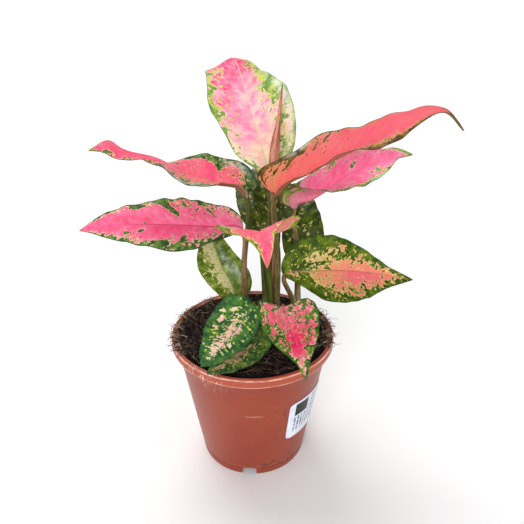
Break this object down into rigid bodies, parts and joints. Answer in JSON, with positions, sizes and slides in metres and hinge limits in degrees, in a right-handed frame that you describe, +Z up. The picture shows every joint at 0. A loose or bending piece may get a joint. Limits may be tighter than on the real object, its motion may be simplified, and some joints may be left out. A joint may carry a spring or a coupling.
{
  "type": "potted chinese evergreen",
  "caption": "Small aglaonema with pink, green and cream variegated leaves on upright petioles, growing in a tapered terracotta-coloured plastic nursery pot.",
  "frame": {"origin": "bottom centre of the whole plant's bounding box, on the surface that the pot stands on; the pot's axis stands 7.0 mm towards -X and 25.0 mm towards -Y of it", "axes": "+Z up along the pot's axis, -Y towards the side that faces the viewer, +X to the viewer's right"},
  "size_m": [0.2322, 0.174, 0.2912],
  "materials": {
    "pot_plastic": "satin terracotta-coloured polypropylene with faint scuffs and soil dust",
    "sticker": null,
    "coir": "rough damp coir compost with loose brown fibres",
    "petiole": "smooth waxy leaf stalk, olive green to pinkish beige",
    "leaf_hot_pink": "waxy leaf, hot pink with a green and cream flecked margin",
    "leaf_coral": "waxy leaf, coral pink with a thin dark green margin",
    "leaf_pale_pink": "waxy leaf, pale pink with a cream fringe and green margin",
    "leaf_salmon": "waxy leaf, salmon pink and cream mottled with dark green",
    "leaf_green": "waxy leaf, dark green with cream, lime and pink flecks"
  },
  "bodies": {
    "root": {"pot": "pot_plastic", "label": "sticker", "shoot_left": "petiole", "shoot_centre": "petiole", "shoot_right": "petiole", "shoot_front": "petiole", "soil": "coir", "leaf_top": "leaf_pale_pink", "leaf_upper_right": "leaf_coral", "leaf_right": "leaf_hot_pink", "leaf_upper_left": "leaf_coral", "leaf_left": "leaf_hot_pink", "leaf_front": "leaf_hot_pink", "leaf_lower_right": "leaf_salmon", "leaf_lower_left": "leaf_green", "leaf_front_left": "leaf_green", "leaf_front_low": "leaf_green", "leaf_front_right": "leaf_hot_pink", "leaf_back_left": "leaf_green", "leaf_back_right": "leaf_green", "leaf_back": "leaf_green", "leaf_new": "leaf_salmon"}
  },
  "joints": []
}
